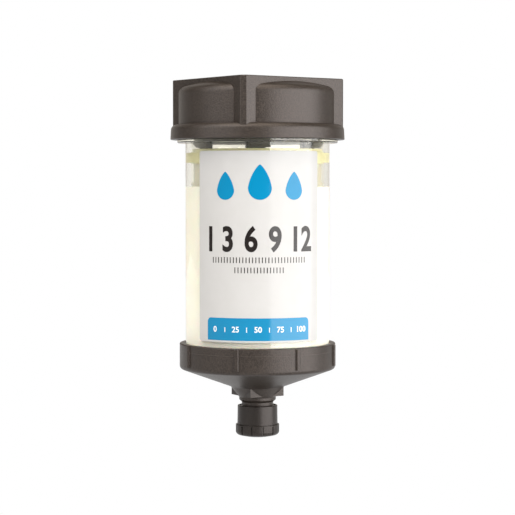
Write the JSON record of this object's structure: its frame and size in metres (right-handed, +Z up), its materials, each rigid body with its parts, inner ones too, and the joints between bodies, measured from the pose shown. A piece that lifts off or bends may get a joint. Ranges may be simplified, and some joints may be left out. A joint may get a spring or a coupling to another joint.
{
  "type": "automatic lubricator",
  "caption": "Single-point automatic grease lubricator: clear cylinder with a gas-driven piston, square-headed dust cap, funnel base and plugged threaded outlet.",
  "frame": {"origin": "centre of the outlet's mouth, at the free end of the threaded stem", "axes": "+Z up along the cylinder's axis towards the dust cap; -Z is the way the outlet points; the label faces -Y"},
  "size_m": [0.066, 0.066, 0.1354],
  "materials": {
    "base_plastic": "moulded, fine spark texture, dark grey",
    "cap_plastic": "moulded, fine spark texture, dark grey-brown",
    "plug_plastic": "moulded, smoother and darker than the base",
    "clear_plastic": "clear, polished",
    "grease": "cream-coloured grease, smooth",
    "label_film": "satin white film with a blue panel",
    "piston_plastic": "natural, slightly translucent yellow-olive",
    "seal_rubber": "smooth black rubber",
    "housing_plastic": "moulded, black",
    "cover_plastic": "moulded, dark grey, satin",
    "board_laminate": "green solder mask",
    "switch_plastic": "blue, smooth",
    "slider_plastic": "white, smooth",
    "spring_metal": "nickel-plated strip",
    "cell_metal": "nickel-plated can",
    "screw_metal": "zinc-plated"
  },
  "bodies": {
    "reservoir_body": {"base_funnel": "base_plastic", "base_seal": "seal_rubber", "reservoir": "clear_plastic", "label": "label_film", "grease_charge": "grease", "control_housing": "housing_plastic", "unit_seal": "seal_rubber", "battery_springs": "spring_metal", "battery_link": "spring_metal", "gas_cell": "cell_metal", "gas_cell_seal": "seal_rubber", "gas_cell_contact": "spring_metal", "circuit_board": "board_laminate", "dip_switch_body": "switch_plastic", "control_cover": "cover_plastic", "cover_screws": "screw_metal", "battery_1": "cell_metal", "battery_2": "cell_metal"},
    "plug_body": {"outlet_plug": "plug_plastic"},
    "piston_body": {"piston": "piston_plastic", "piston_seal": "seal_rubber"},
    "gasket_body": {"cap_seal": "seal_rubber"},
    "cap_body": {"dust_cap": "cap_plastic"},
    "slider_body_1": {"dip_slider_1": "slider_plastic"},
    "slider_body_2": {"dip_slider_2": "slider_plastic"},
    "slider_body_3": {"dip_slider_3": "slider_plastic"},
    "slider_body_4": {"dip_slider_4": "slider_plastic"},
    "slider_body_5": {"dip_slider_5": "slider_plastic"}
  },
  "joints": [
    {"name": "cap_lift", "type": "slide", "parent": "reservoir_body", "child": "gasket_body", "axis": [0, 0, 1], "range_m": [0, 0.018]},
    {"name": "cap_turn", "type": "hinge", "parent": "gasket_body", "child": "cap_body", "pos_m": [0, 0, 0.12], "axis": [0, 0, 1], "range_deg": [0, 1080]},
    {"name": "piston_slide", "type": "slide", "parent": "reservoir_body", "child": "piston_body", "axis": [0, 0, -1], "range_m": [0, 0.066], "deforming": ["grease_charge"]},
    {"name": "plug_slide", "type": "slide", "parent": "reservoir_body", "child": "plug_body", "axis": [0, 0, -1], "range_m": [0, 0.012]},
    {"name": "dip_slide_1", "type": "slide", "parent": "reservoir_body", "child": "slider_body_1", "axis": [0, 1, 0], "range_m": [0, 0.0015]},
    {"name": "dip_slide_2", "type": "slide", "parent": "reservoir_body", "child": "slider_body_2", "axis": [0, 1, 0], "range_m": [0, 0.0015]},
    {"name": "dip_slide_3", "type": "slide", "parent": "reservoir_body", "child": "slider_body_3", "axis": [0, 1, 0], "range_m": [0, 0.0015]},
    {"name": "dip_slide_4", "type": "slide", "parent": "reservoir_body", "child": "slider_body_4", "axis": [0, 1, 0], "range_m": [0, 0.0015]},
    {"name": "dip_slide_5", "type": "slide", "parent": "reservoir_body", "child": "slider_body_5", "axis": [0, 1, 0], "range_m": [0, 0.0015]}
  ],
  "couplings": [
    {"joint": "cap_lift", "follows": "cap_turn", "m_per_rad": 0.00095493}
  ]
}
